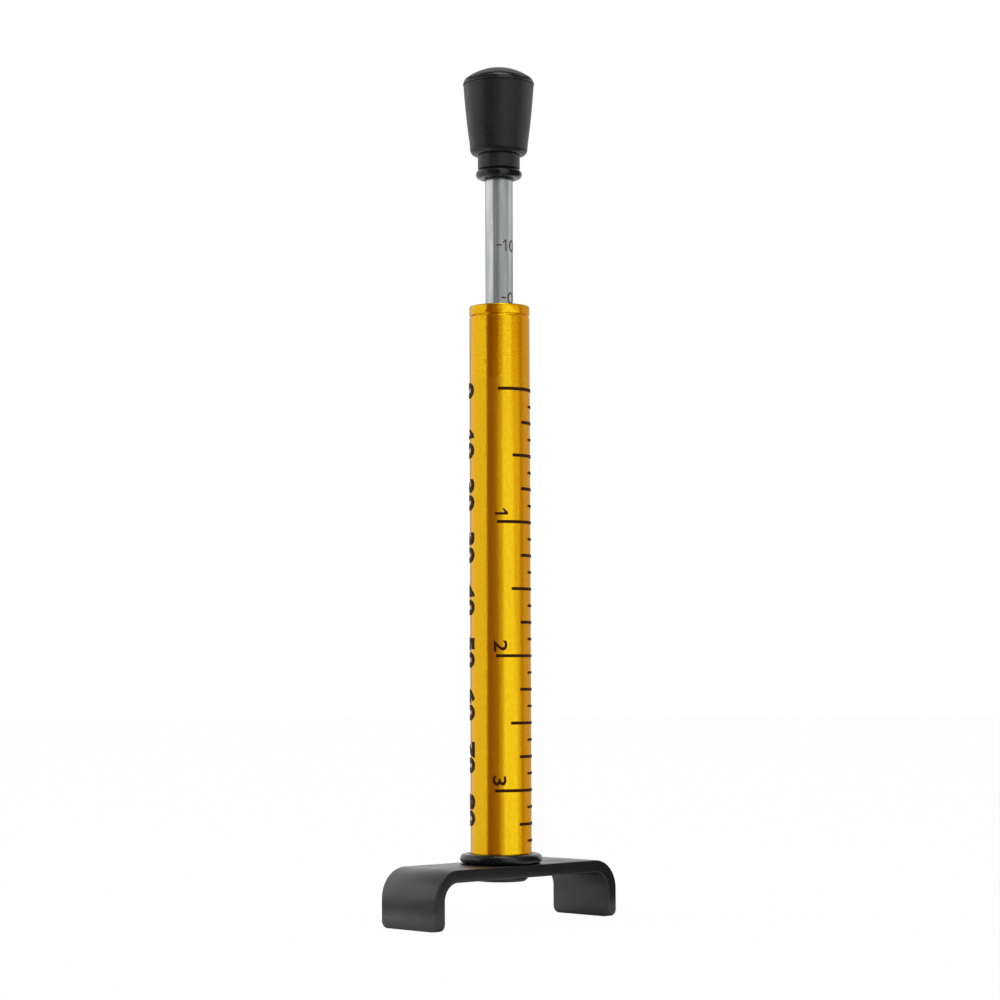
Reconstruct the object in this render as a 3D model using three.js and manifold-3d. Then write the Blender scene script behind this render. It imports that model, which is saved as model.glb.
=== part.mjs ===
// Belt tension gauge: a sprung plunger with a knob slides in a gold tube that stands on a U-shaped cradle.
// Two rubber rings mark the readings: one on the plunger for the force, one on the tube for the deflection.
// Millimetres, +Z up along the tube, +X along the cradle. The origin lies under the tube's axis,
// on the plane where the two flanges of the cradle stand.

import * as THREE from 'three';
import { mergeVertices } from 'three/addons/utils/BufferGeometryUtils.js';
import Module from 'manifold-3d';

const wasm = await Module();
wasm.setup();

// Counts of sides and steps
const roundSides = 48;
const ringSides = 16;
const hexSides = 6;
const bendSteps = 8;
const clipSteps = 24;
const flankSteps = 5;
const skirtSteps = 4;
const shoulderSteps = 4;
const domeSteps = 6;

// Fits between pieces
const restGap = 0.02; // between faces that rest on each other
const pressGap = 0.02; // round a piece that is pressed in
const threadGap = 0.05; // round a screwed thread
const runningGap = 0.06; // round the sliding rod
const slipGap = 0.04; // inside a rubber ring
const stopGap = 0.1; // between the clip and the cap that stops it
const overrun = 1; // how far a cutter reaches past what it cuts

// Cradle, a strip bent to a U
const cradleLength = 47.6;
const cradleWidth = 15;
const cradleHeight = 11.05;
const stripThickness = 2.33;
const bendInnerRadius = 3.3;
const flangeCornerRadius = 1.4;
const cradleHoleClearance = 0.15;

// Screw that holds the cradle
const screwShankRadius = 2.5;
const screwHeadRadius = 5;
const screwHeadHeight = 0.95;
const screwHeadChamfer = 0.45;
const screwThreadLength = 8;
const screwTipChamfer = 0.5;
const socketAcrossFlats = 3;
const socketDepth = 1.8;

// Tube and the film on it
const tubeRadius = 5.79;
const tubeWall = 1.04;
const tubeLength = 104.35;
const tubeChamfer = 0.25;
const filmThickness = 0.1;
const filmLift = 2.1; // bare tube below the film
const filmDrop = 12.05; // bare tube above the film

// Plug in the tube's lower end
const tapRunout = 1.5; // tapped hole beyond the screw's tip
const plugRoof = 3; // solid metal above the tapped hole
const plugChamfer = 0.4;

// Cap in the tube's upper end, with its bush
const capFlangeHeight = 2.1;
const capSpigotLength = 12;
const capChamfer = 0.3;
const bushWall = 0.8;
const bushRecess = 0.35; // the bush ends this far below the cap's face

// Plunger
const rodRadius = 2.67;
const rodShown = 26.6; // from the cap's face to the knob
const rodTail = 3.5; // below the washer, inside the spring
const rodChamfer = 0.5;
const studRadius = 1.95;
const studLength = 8;
const grooveDepth = 0.65;
const clipThickness = 0.6;
const clipRadius = 4.25;
const clipMouthShare = 0.85; // width of the clip's mouth, as a share of the groove's diameter
const washerThickness = 1;
const washerClearance = 0.15; // round the rod
const boreClearance = 0.2; // between the tube's bore and what slides or lies in it

// Spring
const wireRadius = 0.65;
const springMeanRadius = 3.75;
const springTurns = 17.3;
const endTurnGap = 0.5; // clear height between the close turns at each end
const springSteps = 10; // per turn
const wireSides = 5;
const seatThickness = 0.8;

// Knob, with its insert
const neckRadius = 4.06;
const neckHeight = 2.8;
const skirtRadius = 5.46; // lower end of the tapered flank
const skirtRound = 1.07;
const flankHeight = 12.59;
const flankBulge = 0.135;
const crownRadius = 6.9; // widest, at the foot of the rounded shoulder
const crownLip = 0.15; // from the flank's upper end out to the shoulder
const crownFlare = 0.1;
const shoulderRadius = 1.6;
const domeRadius = 10.57;
const insertRadius = 3.2;
const insertLength = 9.5;

// Rubber rings
const forceCordRadius = 0.88;
const deflectionCordRadius = 0.95;

// Places along the tube's axis
const plateTop = cradleHeight;
const plateUnderside = plateTop - stripThickness;
const tubeBottom = plateTop + restGap;
const tubeTop = tubeBottom + tubeLength;
const tubeBore = tubeRadius - tubeWall;
const plugLength = screwThreadLength + tapRunout + plugRoof;
const plugTop = tubeBottom + plugLength;
const capFlangeBottom = tubeTop + restGap;
const capTop = capFlangeBottom + capFlangeHeight;
const spigotBottom = capFlangeBottom - capSpigotLength;
const clipTop = spigotBottom - stopGap;
const clipBottom = clipTop - clipThickness;
const washerTop = clipBottom - restGap;
const washerBottom = washerTop - washerThickness;
const springTop = washerBottom - restGap;
const seatBottom = plugTop + restGap;
const springBottom = seatBottom + seatThickness + restGap;
const rodBottom = washerBottom - rodTail;
const knobBottom = capTop + rodShown;
const shoulderTop = knobBottom - restGap;
const filmRadius = tubeRadius + pressGap + filmThickness;

// Drawing and joining

const at = (radius, height) => new THREE.Vector2(radius, height);

// Points on an arc round a centre, from one angle to another, both ends included
function arc(centreRadius, centreHeight, radius, start, end, steps) {
  return Array.from({ length: steps + 1 }, (_, step) => {
    const angle = start + (end - start) * step / steps;
    return at(centreRadius + radius * Math.cos(angle), centreHeight + radius * Math.sin(angle));
  });
}

// Shared corners become one, and triangles that have shrunk to a line are left out
function welded(geometry) {
  geometry.deleteAttribute('normal');
  geometry.deleteAttribute('uv');
  const merged = mergeVertices(geometry);
  const corners = merged.getIndex().array;
  const kept = [];
  for (let first = 0; first < corners.length; first += 3) {
    const [a, b, c] = corners.slice(first, first + 3);
    if (a !== b && b !== c && c !== a) {
      kept.push(a, b, c);
    }
  }
  merged.setIndex(kept);
  return merged;
}

// A profile drawn anticlockwise, radius across and height up, turned about Z.
// It starts and ends on the axis, or else it is closed into a ring.
function turned(profile) {
  const outline = profile[0].x === 0 ? profile : [...profile, profile[0]];
  const geometry = new THREE.LatheGeometry(outline, roundSides);
  geometry.rotateX(Math.PI / 2);
  return welded(geometry);
}

// A washer or sleeve with a plain rectangular section
function sleeve(innerRadius, outerRadius, height) {
  return turned([
    at(innerRadius, 0),
    at(outerRadius, 0),
    at(outerRadius, height),
    at(innerRadius, height),
  ]);
}

// A rubber ring, lying on height zero
function cordRing(innerRadius, cordRadius) {
  const section = arc(innerRadius + cordRadius, cordRadius, cordRadius, 0, 2 * Math.PI, ringSides);
  return turned(section.slice(0, ringSides));
}

function solidOf(geometry) {
  const vertProperties = new Float32Array(geometry.getAttribute('position').array);
  const triVerts = new Uint32Array(geometry.getIndex().array);
  return new wasm.Manifold(new wasm.Mesh({ numProp: 3, vertProperties, triVerts }));
}

function geometryOf(solid) {
  const mesh = solid.getMesh();
  const geometry = new THREE.BufferGeometry();
  geometry.setAttribute('position', new THREE.BufferAttribute(mesh.vertProperties, mesh.numProp));
  geometry.setIndex(new THREE.BufferAttribute(mesh.triVerts, 1));
  return geometry;
}

// An upright prism or round bar from one height to another
function bar(radius, bottom, top, sides) {
  const geometry = new THREE.CylinderGeometry(radius, radius, top - bottom, sides);
  geometry.rotateX(Math.PI / 2);
  geometry.translate(0, 0, (bottom + top) / 2);
  return welded(geometry);
}

// Cradle

// The U in the XZ plane, with feet that reach below the ground plane by the overrun
function cradleSection() {
  const half = cradleLength / 2;
  const inside = half - stripThickness;
  const bendOuterRadius = bendInnerRadius + stripThickness;
  const outerCentre = at(half - bendOuterRadius, plateTop - bendOuterRadius);
  const innerCentre = at(inside - bendInnerRadius, plateUnderside - bendInnerRadius);
  const section = new THREE.Shape();
  section.moveTo(half, -overrun);
  section.lineTo(half, outerCentre.y);
  section.absarc(outerCentre.x, outerCentre.y, bendOuterRadius, 0, Math.PI / 2, false);
  section.absarc(-outerCentre.x, outerCentre.y, bendOuterRadius, Math.PI / 2, Math.PI, false);
  section.lineTo(-half, -overrun);
  section.lineTo(-inside, -overrun);
  section.absarc(-innerCentre.x, innerCentre.y, bendInnerRadius, Math.PI, Math.PI / 2, true);
  section.absarc(innerCentre.x, innerCentre.y, bendInnerRadius, Math.PI / 2, 0, true);
  section.lineTo(inside, -overrun);
  return section;
}

// The strip's outline seen along X: straight sides, and round corners where the flanges stand
function cradleSideOutline() {
  const half = cradleWidth / 2;
  const centre = at(half - flangeCornerRadius, flangeCornerRadius);
  const outline = new THREE.Shape();
  outline.moveTo(half, cradleHeight + overrun);
  outline.lineTo(-half, cradleHeight + overrun);
  outline.absarc(-centre.x, centre.y, flangeCornerRadius, Math.PI, Math.PI * 3 / 2, false);
  outline.absarc(centre.x, centre.y, flangeCornerRadius, Math.PI * 3 / 2, Math.PI * 2, false);
  return outline;
}

function cradle() {
  const depth = cradleWidth + 2 * overrun;
  const strip = new THREE.ExtrudeGeometry(
    cradleSection(),
    { depth, bevelEnabled: false, curveSegments: bendSteps },
  );
  strip.rotateX(Math.PI / 2);
  strip.translate(0, depth / 2, 0);

  const span = cradleLength + 2 * overrun;
  const sides = new THREE.ExtrudeGeometry(
    cradleSideOutline(),
    { depth: span, bevelEnabled: false, curveSegments: bendSteps },
  );
  sides.rotateX(Math.PI / 2);
  sides.rotateZ(Math.PI / 2);
  sides.translate(-span / 2, 0, 0);

  const hole = bar(
    screwShankRadius + cradleHoleClearance,
    plateUnderside - overrun,
    plateTop + overrun,
    roundSides,
  );
  return geometryOf(solidOf(welded(strip)).intersect(solidOf(welded(sides))).subtract(solidOf(hole)));
}

// The screw's height zero is the under face of its head
function cradleScrew() {
  const shankTop = screwHeadHeight + restGap + stripThickness + restGap + screwThreadLength;
  const blank = turned([
    at(0, 0),
    at(screwHeadRadius - screwHeadChamfer, 0),
    at(screwHeadRadius, screwHeadChamfer),
    at(screwHeadRadius, screwHeadHeight),
    at(screwShankRadius, screwHeadHeight),
    at(screwShankRadius, shankTop - screwTipChamfer),
    at(screwShankRadius - screwTipChamfer, shankTop),
    at(0, shankTop),
  ]);
  const socketRadius = socketAcrossFlats / 2 / Math.cos(Math.PI / hexSides);
  const socket = bar(socketRadius, -overrun, socketDepth, hexSides);
  return geometryOf(solidOf(blank).subtract(solidOf(socket)));
}

// Tube

function bodyTube() {
  return turned([
    at(tubeBore, 0),
    at(tubeRadius - tubeChamfer, 0),
    at(tubeRadius, tubeChamfer),
    at(tubeRadius, tubeLength - tubeChamfer),
    at(tubeRadius - tubeChamfer, tubeLength),
    at(tubeBore, tubeLength),
  ]);
}

function scaleFilm() {
  return sleeve(tubeRadius + pressGap, filmRadius, tubeLength - filmLift - filmDrop);
}

// The plug stands on height zero, and its tapped hole opens downwards
function bottomPlug() {
  const radius = tubeBore - pressGap;
  const holeRadius = screwShankRadius + threadGap;
  const holeTop = plugLength - plugRoof;
  return turned([
    at(0, holeTop),
    at(holeRadius, holeTop),
    at(holeRadius, 0),
    at(radius, 0),
    at(radius, plugLength - plugChamfer),
    at(radius - plugChamfer, plugLength),
    at(0, plugLength),
  ]);
}

// The cap's height zero is the lower end of its spigot
function topCap() {
  const bore = rodRadius + runningGap + bushWall + pressGap;
  const spigotRadius = tubeBore - pressGap;
  const top = capSpigotLength + capFlangeHeight;
  return turned([
    at(bore, 0),
    at(spigotRadius, 0),
    at(spigotRadius, capSpigotLength),
    at(tubeRadius - capChamfer, capSpigotLength),
    at(tubeRadius, capSpigotLength + capChamfer),
    at(tubeRadius, top - capChamfer),
    at(tubeRadius - capChamfer, top),
    at(bore, top),
  ]);
}

function guideBush() {
  const bore = rodRadius + runningGap;
  return sleeve(bore, bore + bushWall, capSpigotLength + capFlangeHeight - bushRecess);
}

// Plunger

// The rod's height zero is its lower end
function plungerRod() {
  const grooveRadius = rodRadius - grooveDepth;
  const grooveBottom = clipBottom - restGap - rodBottom;
  const grooveTop = clipTop + restGap - rodBottom;
  const shoulder = shoulderTop - rodBottom;
  const top = shoulder + studLength;
  return turned([
    at(0, 0),
    at(rodRadius - rodChamfer, 0),
    at(rodRadius, rodChamfer),
    at(rodRadius, grooveBottom),
    at(grooveRadius, grooveBottom),
    at(grooveRadius, grooveTop),
    at(rodRadius, grooveTop),
    at(rodRadius, shoulder),
    at(studRadius, shoulder),
    at(studRadius, top - rodChamfer),
    at(studRadius - rodChamfer, top),
    at(0, top),
  ]);
}

// A flat clip that is open on one side, so that it can be pushed into the groove
function retainingClip() {
  const innerRadius = rodRadius - grooveDepth + threadGap;
  const halfMouth = (rodRadius - grooveDepth) * clipMouthShare;
  const outerStart = Math.asin(halfMouth / clipRadius);
  const innerStart = Math.asin(halfMouth / innerRadius);
  const outline = new THREE.Shape();
  outline.absarc(0, 0, clipRadius, outerStart, 2 * Math.PI - outerStart, false);
  outline.absarc(0, 0, innerRadius, 2 * Math.PI - innerStart, innerStart, true);
  return welded(new THREE.ExtrudeGeometry(
    outline,
    { depth: clipThickness, bevelEnabled: false, curveSegments: clipSteps },
  ));
}

function springWasher() {
  return sleeve(rodRadius + washerClearance, tubeBore - boreClearance, washerThickness);
}

function springSeat() {
  return sleeve(springMeanRadius - 2 * wireRadius, tubeBore - boreClearance, seatThickness);
}

// Middle line of the spring's wire. The turn at each end lies close, and the rest share the height.
function springLine() {
  const height = springTop - springBottom - 2 * wireRadius;
  const closeRise = 2 * wireRadius + endTurnGap;
  const openRise = (height - 2 * closeRise) / (springTurns - 2);
  const rise = (turn) => {
    const open = Math.min(Math.max(turn - 1, 0), springTurns - 2);
    return (turn - open) * closeRise + open * openRise;
  };
  const steps = Math.round(springTurns * springSteps);
  return Array.from({ length: steps + 1 }, (_, step) => {
    const turn = springTurns * step / steps;
    const angle = 2 * Math.PI * turn;
    return new THREE.Vector3(
      springMeanRadius * Math.cos(angle),
      springMeanRadius * Math.sin(angle),
      wireRadius + rise(turn),
    );
  });
}

// Smallest clear space between one turn of the wire and another
function springGap(line) {
  const halfTurn = Math.round(springSteps / 2);
  let least = Infinity;
  line.forEach((point, first) => {
    line.slice(first + halfTurn).forEach((other) => {
      least = Math.min(least, point.distanceTo(other) - 2 * wireRadius);
    });
  });
  return least;
}

// A ring of corners round each point of the line, joined ring to ring and closed at both ends
function forceSpring() {
  const line = springLine();
  console.log(`force_spring: least gap to itself ${springGap(line).toFixed(2)} mm`);
  const corners = [];
  line.forEach((point, step) => {
    const ahead = line[Math.min(step + 1, line.length - 1)];
    const behind = line[Math.max(step - 1, 0)];
    const along = ahead.clone().sub(behind).normalize();
    const outward = new THREE.Vector3(point.x, point.y, 0).normalize();
    const across = along.clone().cross(outward).normalize();
    for (let side = 0; side < wireSides; side += 1) {
      const angle = 2 * Math.PI * side / wireSides;
      const corner = point.clone()
        .addScaledVector(outward, wireRadius * Math.cos(angle))
        .addScaledVector(across, wireRadius * Math.sin(angle));
      corners.push(corner.x, corner.y, corner.z);
    }
  });
  const faces = [];
  const lastRing = (line.length - 1) * wireSides;
  for (let side = 0; side < wireSides; side += 1) {
    const next = (side + 1) % wireSides;
    for (let ring = 0; ring < lastRing; ring += wireSides) {
      faces.push(ring + side, ring + next, ring + wireSides + side);
      faces.push(ring + next, ring + wireSides + next, ring + wireSides + side);
    }
    if (side > 0 && next > 0) {
      faces.push(0, next, side);
      faces.push(lastRing, lastRing + side, lastRing + next);
    }
  }
  const geometry = new THREE.BufferGeometry();
  geometry.setAttribute('position', new THREE.Float32BufferAttribute(corners, 3));
  geometry.setIndex(faces);
  return geometry;
}

// Knob

// The knob's height zero is the lower face of its neck, where the insert's hole opens
function knob() {
  const holeRadius = insertRadius + pressGap;
  const holeTop = insertLength + restGap;
  const flankBottom = neckHeight + skirtRound;
  const flankTop = flankBottom + flankHeight;
  const skirt = arc(skirtRadius - skirtRound, flankBottom, skirtRound, -Math.PI / 2, 0, skirtSteps);
  const flank = Array.from({ length: flankSteps + 1 }, (_, step) => {
    const share = step / flankSteps;
    const taper = skirtRadius + (crownRadius - crownFlare - skirtRadius) * share;
    return at(taper + 4 * flankBulge * share * (1 - share), flankBottom + flankHeight * share);
  });
  const shoulderCentre = at(crownRadius - shoulderRadius, flankTop + crownLip);
  const domeCentre = shoulderCentre.y - Math.sqrt((domeRadius - shoulderRadius) ** 2 - shoulderCentre.x ** 2);
  const meeting = Math.atan2(shoulderCentre.y - domeCentre, shoulderCentre.x);
  const shoulder = arc(shoulderCentre.x, shoulderCentre.y, shoulderRadius, 0, meeting, shoulderSteps);
  const dome = arc(0, domeCentre, domeRadius, meeting, Math.PI / 2, domeSteps);
  return turned([
    at(0, holeTop),
    at(holeRadius, holeTop),
    at(holeRadius, 0),
    at(neckRadius, 0),
    at(neckRadius, neckHeight),
    ...skirt.slice(0, skirtSteps),
    ...flank,
    ...shoulder,
    ...dome.slice(1, domeSteps),
    at(0, domeCentre + domeRadius),
  ]);
}

function knobInsert() {
  return sleeve(studRadius + threadGap, insertRadius, insertLength);
}

// Finishes

function finish(color, roughness, metalness) {
  return new THREE.MeshStandardMaterial({ color, roughness, metalness });
}

const goldAnodised = () => finish(0xd9a21b, 0.32, 1);
const brightSteel = () => finish(0xb9bdbf, 0.28, 1);
const blackRubber = () => finish(0x161616, 0.6, 0);
const blackCoating = () => finish(0x2b2b2b, 0.5, 0);
const blackPlastic = () => finish(0x1a1a1c, 0.4, 0);
const brass = () => finish(0xb5923f, 0.35, 1);
const acetal = () => finish(0xe6e3d8, 0.5, 0);

function clearFilm() {
  const film = finish(0xe3ab22, 0.3, 0.2);
  film.transparent = true;
  film.opacity = 0.35;
  return film;
}

// Assembly

// Each geometry stands on its own height zero, and is lifted to its place along the axis
function piece(name, geometry, material, height) {
  geometry.computeVertexNormals();
  const mesh = new THREE.Mesh(geometry, material);
  mesh.name = name;
  mesh.position.z = height;
  return mesh;
}

const barrel = new THREE.Group();
barrel.add(
  piece('cradle', cradle(), blackCoating(), 0),
  piece('cradle_screw', cradleScrew(), blackCoating(), plateUnderside - restGap - screwHeadHeight),
  piece('bottom_plug', bottomPlug(), goldAnodised(), tubeBottom),
  piece('body_tube', bodyTube(), goldAnodised(), tubeBottom),
  piece('scale_label', scaleFilm(), clearFilm(), tubeBottom + filmLift),
  piece('top_cap', topCap(), goldAnodised(), spigotBottom),
  piece('guide_bush', guideBush(), acetal(), spigotBottom),
  piece('spring_seat', springSeat(), brightSteel(), seatBottom),
  piece('force_spring', forceSpring(), brightSteel(), springBottom),
);

const plunger = new THREE.Group();
plunger.add(
  piece('spring_washer', springWasher(), brightSteel(), washerBottom),
  piece('retaining_clip', retainingClip(), brightSteel(), clipBottom),
  piece('plunger_rod', plungerRod(), brightSteel(), rodBottom),
  piece('knob_insert', knobInsert(), brass(), knobBottom),
  piece('knob', knob(), blackPlastic(), knobBottom),
);

const filmSeat = filmRadius + slipGap;
const rodSeat = rodRadius + slipGap;
const markers = new THREE.Group();
markers.add(
  piece('deflection_o_ring', cordRing(filmSeat, deflectionCordRadius), blackRubber(), plateTop + restGap),
  piece(
    'force_o_ring',
    cordRing(rodSeat, forceCordRadius),
    blackRubber(),
    knobBottom - restGap - 2 * forceCordRadius,
  ),
);

const gauge = new THREE.Group();
gauge.add(barrel, plunger, markers);

export default gauge;
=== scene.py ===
import math

import bmesh
import bpy
from mathutils import Matrix, Vector


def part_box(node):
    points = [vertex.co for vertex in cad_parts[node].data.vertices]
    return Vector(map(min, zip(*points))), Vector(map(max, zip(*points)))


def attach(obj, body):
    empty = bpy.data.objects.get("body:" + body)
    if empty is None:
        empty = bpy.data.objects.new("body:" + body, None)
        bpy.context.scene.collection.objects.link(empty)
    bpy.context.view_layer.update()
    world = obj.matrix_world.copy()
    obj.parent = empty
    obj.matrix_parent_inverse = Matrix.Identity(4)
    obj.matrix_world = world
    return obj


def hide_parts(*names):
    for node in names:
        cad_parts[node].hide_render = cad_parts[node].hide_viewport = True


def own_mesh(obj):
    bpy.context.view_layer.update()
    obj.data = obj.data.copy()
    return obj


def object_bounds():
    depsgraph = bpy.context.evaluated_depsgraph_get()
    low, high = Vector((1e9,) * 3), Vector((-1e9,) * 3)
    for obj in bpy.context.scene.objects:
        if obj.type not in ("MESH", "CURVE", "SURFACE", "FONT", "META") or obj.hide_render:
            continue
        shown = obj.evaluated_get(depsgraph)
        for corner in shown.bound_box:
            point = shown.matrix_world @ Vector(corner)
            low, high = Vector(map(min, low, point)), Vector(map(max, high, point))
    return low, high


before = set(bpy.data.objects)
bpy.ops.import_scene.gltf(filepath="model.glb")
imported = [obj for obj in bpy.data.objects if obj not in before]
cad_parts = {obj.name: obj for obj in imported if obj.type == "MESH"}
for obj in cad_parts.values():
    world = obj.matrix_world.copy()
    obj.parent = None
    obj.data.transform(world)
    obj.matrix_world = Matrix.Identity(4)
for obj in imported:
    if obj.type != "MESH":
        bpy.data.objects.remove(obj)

cad_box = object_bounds()


# Camera
# It stands half a metre away and a little above the cradle, whose left end is nearer. Its place and lens
# come from a fit to the lines of the scale, the limbs of the tube and the corners of the cradle.
mm = 0.001
camera_distance = 507.7 * mm
camera_height = 46.6 * mm
camera_turn = math.radians(44.147)
camera_pitch = math.radians(3.790)
camera_roll = math.radians(-0.2)
camera_near = 20 * mm
camera_far = 20000 * mm
sensor_width = 36
lens_length = 95.51
quarter_turn = math.radians(90)


def add_object(name, data):
    """A new object in the scene."""
    made = bpy.data.objects.new(name, data)
    bpy.context.scene.collection.objects.link(made)
    return made


camera_data = bpy.data.cameras.new("camera")
camera_data.sensor_width = sensor_width
camera_data.lens = lens_length
camera_data.clip_start = camera_near
camera_data.clip_end = camera_far
camera = add_object("camera", camera_data)
camera_place = Vector((-math.sin(camera_turn), -math.cos(camera_turn), 0)) * camera_distance
camera_place.z = camera_height
camera.matrix_world = (
    Matrix.Translation(camera_place)
    @ Matrix.Rotation(-camera_turn, 4, "Z")
    @ Matrix.Rotation(quarter_turn + camera_pitch, 4, "X")
    @ Matrix.Rotation(camera_roll, 4, "Z")
)
bpy.context.scene.camera = camera
bpy.context.scene.view_settings.view_transform = "Standard"

# Angles round the object are counted from the side that faces this camera, anticlockwise from above
towards_camera = math.atan2(camera_place.y, camera_place.x)


# Studio
# A pale table under a white room. Cards of grey and brown paper stand round it, out of sight of the camera,
# and only the gloss of the metal and plastic shows them. Three soft lamps give the shading.
room_light = 0.62
room_white = 1
white = (1, 1, 1, 1)
table_radius = 2500 * mm
table_drop = 0.02 * mm
table_sides = 64
table_colour = (0.8, 0.8, 0.8, 1)
table_glow_share = 0.97
card_steps = 24
card_radius = 950 * mm


def add_node(tree, kind, inputs=None, **settings):
    """One shader node. A socket given as an input is linked, and anything else is its plain value."""
    made = tree.nodes.new("ShaderNode" + kind)
    for name, value in settings.items():
        setattr(made, name, value)
    for name, value in (inputs or {}).items():
        if isinstance(value, bpy.types.NodeSocket):
            tree.links.new(value, made.inputs[name])
        else:
            made.inputs[name].default_value = value
    return made


# The room is white to the rays that look straight, in a reflection or through glass, and dimmer to the rest
world = bpy.data.worlds.new("studio")
bpy.context.scene.world = world
world.use_nodes = True
tree = world.node_tree
tree.nodes.clear()
path = add_node(tree, "LightPath")
mirrored = add_node(tree, "Math", {0: path.outputs["Is Camera Ray"], 1: path.outputs["Is Glossy Ray"]},
                    operation="MAXIMUM")
looking = add_node(tree, "Math", {0: mirrored.outputs[0], 1: path.outputs["Is Transmission Ray"]},
                   operation="MAXIMUM")
lighting = add_node(tree, "Background", {"Color": white, "Strength": room_light})
backdrop = add_node(tree, "Background", {"Color": white, "Strength": room_white})
room = add_node(tree, "MixShader", {0: looking.outputs[0], 1: lighting.outputs[0], 2: backdrop.outputs[0]})
add_node(tree, "OutputWorld", {"Surface": room.outputs[0]})


def new_material(name):
    """A material and its node tree, which is still empty."""
    material = bpy.data.materials.new(name)
    material.use_nodes = True
    material.node_tree.nodes.clear()
    return material, material.node_tree


def mesh_from(bm, name):
    """A mesh that takes over the shape of a bmesh."""
    mesh = bpy.data.meshes.new(name)
    bm.to_mesh(mesh)
    bm.free()
    return mesh


table_paper, tree = new_material("table_paper")
path = add_node(tree, "LightPath")
glow = add_node(tree, "Math", {0: path.outputs["Is Camera Ray"], 1: table_glow_share}, operation="MULTIPLY")
paper = add_node(tree, "BsdfDiffuse", {"Color": table_colour})
shining = add_node(tree, "Emission", {"Color": white, "Strength": room_white})
surface = add_node(tree, "MixShader", {0: glow.outputs[0], 1: paper.outputs[0], 2: shining.outputs[0]})
add_node(tree, "OutputMaterial", {"Surface": surface.outputs[0]})

table = bmesh.new()
bmesh.ops.create_circle(table, cap_ends=True, segments=table_sides, radius=table_radius,
                        matrix=Matrix.Translation((0, 0, -table_drop)))
table_top = add_object("table", mesh_from(table, "table"))
table_top.data.materials.append(table_paper)


def paper_card(name, start, end, outline, colour, lights=None):
    """A card bent round the object between two angles in degrees. Its outline holds (radius, height) points,
    and an angle may be given for each of them. One that lights only some pieces adds its light to what is
    behind it."""
    material, tree = new_material(name)
    shade = add_node(tree, "Emission", {"Color": (*colour, 1), "Strength": room_white})
    if lights:
        clear = add_node(tree, "BsdfTransparent", {"Color": white})
        shade = add_node(tree, "AddShader", {0: shade.outputs[0], 1: clear.outputs[0]})
    add_node(tree, "OutputMaterial", {"Surface": shade.outputs[0]})
    starts = start if isinstance(start, tuple) else (start,) * len(outline)
    ends = end if isinstance(end, tuple) else (end,) * len(outline)
    card = bmesh.new()
    rows = []
    for step in range(card_steps + 1):
        row = []
        for (radius, height), first, last in zip(outline, starts, ends):
            angle = towards_camera + math.radians(first + (last - first) * step / card_steps)
            row.append(card.verts.new((radius * math.cos(angle), radius * math.sin(angle), height)))
        rows.append(row)
    for row, following in zip(rows, rows[1:]):
        for near in range(len(outline) - 1):
            card.faces.new((row[near], row[near + 1], following[near + 1], following[near]))
    piece = add_object(name, mesh_from(card, name))
    piece.data.materials.append(material)
    for ray in ("camera", "diffuse", "transmission", "volume_scatter", "shadow"):
        setattr(piece, "visible_" + ray, False)
    if lights:
        piece.light_linking.receiver_collection = lights


gold_pieces = bpy.data.collections.new("gold_pieces")
coat_pieces = bpy.data.collections.new("coat_pieces")
other_pieces = bpy.data.collections.new("other_pieces")
on_table = 2 * mm
near_edge = 32 * mm
card_top = 900 * mm
behind = 12 * mm
others_wall = card_radius + behind
backing_wall = card_radius + 2 * behind
backing = ((near_edge, on_table), (backing_wall, on_table), (backing_wall, card_top))
paper_card("black_backing", -180, 180, backing, (0, 0, 0))

# The ceiling that every piece shows: start and end angle, inner and outer radius, and grey
ceiling_height = 950 * mm
zenith_inside = 5 * mm
ceiling_inside = 320 * mm
ceiling_behind_inside = 456 * mm
ceiling_outside = 1080 * mm
ceiling_shares = (
    ("zenith", 90, 270, zenith_inside, ceiling_behind_inside, 0.02),
    ("ceiling_left", -90, 0, ceiling_inside, ceiling_outside, 0.22),
    ("ceiling", 0, 52, ceiling_inside, ceiling_outside, 1),
    ("ceiling_right", 52, 90, ceiling_inside, ceiling_outside, 0.1),
    ("ceiling_behind", 90, 270, ceiling_behind_inside, ceiling_outside, 0.5),
)
for name, start, end, inside, outside, share in ceiling_shares:
    paper_card(name, start, end, ((inside, ceiling_height), (outside, ceiling_height)), (share, share, share))

# What the gold shows. The bare end of the tube shows the upper part of the wall, and the part under the film
# shows the rest. Each edge between two cards has an angle on the upper wall, and one at each of four heights
# of the lower wall, from the highest down. The lowest holds down to the table.
film_split = 405 * mm
gold_floor = 3 * on_table
gold_upper = ((card_radius, film_split), (card_radius, card_top))
gold_heights = (128 * mm, 157 * mm, 357 * mm, film_split)
gold_lower = ((near_edge, gold_floor), (card_radius, gold_floor),
              *((card_radius, height) for height in gold_heights))
gold_edges = (
    (-180, -180, -180, -180, -180),
    (-142, -142, -142, -142, -142),
    (-52, -52, -52, -52, -53),
    (-27, -27, -27, -27, -27),
    (-5, -17.5, -16, -6, -9),
    (1, -9, -7.5, 2, -1),
    (14, 6.5, 7.5, 15, 12),
    (47, 51, 53, 56, 68),
    (74, 78, 82, 80, 82),
    (100, 100, 100, 100, 100),
    (180, 180, 180, 180, 180),
)
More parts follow.
